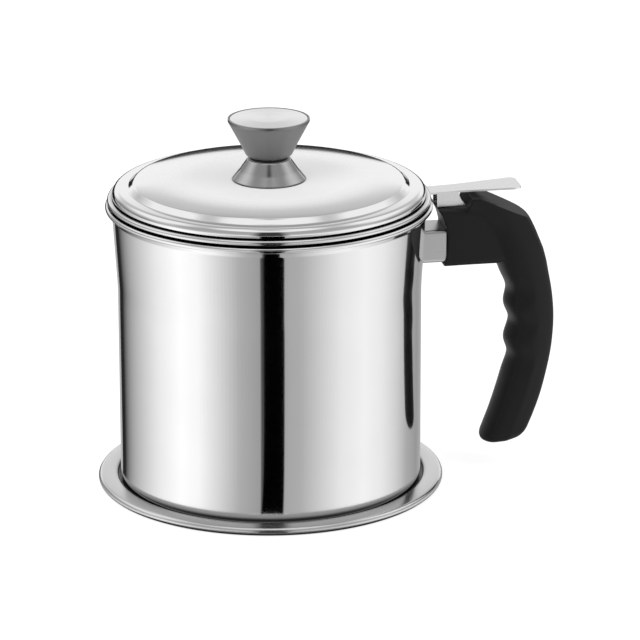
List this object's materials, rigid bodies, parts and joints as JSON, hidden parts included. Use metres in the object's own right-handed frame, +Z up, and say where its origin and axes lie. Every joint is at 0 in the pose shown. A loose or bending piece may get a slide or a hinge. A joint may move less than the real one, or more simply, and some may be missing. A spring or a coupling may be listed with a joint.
{
  "type": "bacon grease container",
  "caption": "Steel pot for cooking fat with a drip tray, a lift-out strainer with a thumb tab, a knobbed lid and a black moulded side handle.",
  "frame": {"origin": "centre of the flat foot under the drip tray, on the axis of the pot", "axes": "+Z up along the axis of the pot, +X from the pot towards the handle, +Y across"},
  "size_m": [0.1994, 0.1494, 0.1614],
  "materials": {
    "tray_steel": "satin pressed sheet",
    "pot_steel": "polished sheet with fine drawn lines",
    "bracket_steel": "plain",
    "ferrule_steel": "satin",
    "handle_black": "satin moulded",
    "fastener_steel": "plain",
    "strainer_steel": "polished",
    "mesh_steel": "plain",
    "tab_steel": "satin",
    "lid_steel": "polished",
    "knob_steel": "polished",
    "spacer_black": "plain",
    "knob_cup_steel": "turned satin",
    "knob_cap_steel": "satin",
    "insert_brass": "plain"
  },
  "bodies": {
    "tray": {"drip_tray": "tray_steel"},
    "pot": {"pot_shell": "pot_steel", "handle_pad": "bracket_steel", "handle_boss": "bracket_steel", "handle_ferrule": "ferrule_steel", "handle_grip": "handle_black", "handle_washer": "fastener_steel", "handle_screw": "fastener_steel"},
    "strainer": {"strainer_bowl": "strainer_steel", "strainer_mesh": "mesh_steel", "mesh_clamp_ring": "strainer_steel", "strainer_tab": "tab_steel"},
    "lid": {"lid_shell": "lid_steel", "knob_base": "knob_steel", "knob_spacer": "spacer_black", "knob_cup": "knob_cup_steel", "knob_cap": "knob_cap_steel", "knob_insert": "insert_brass", "knob_lock_washer": "fastener_steel", "knob_screw": "fastener_steel"}
  },
  "joints": [
    {"name": "pot_lift", "type": "slide", "parent": "tray", "child": "pot", "axis": [0, 0, 1], "range_m": [0, 0.04]},
    {"name": "strainer_lift", "type": "slide", "parent": "pot", "child": "strainer", "axis": [0, 0, 1], "range_m": [0, 0.06]},
    {"name": "lid_lift", "type": "slide", "parent": "strainer", "child": "lid", "axis": [0, 0, 1], "range_m": [0, 0.06]}
  ]
}
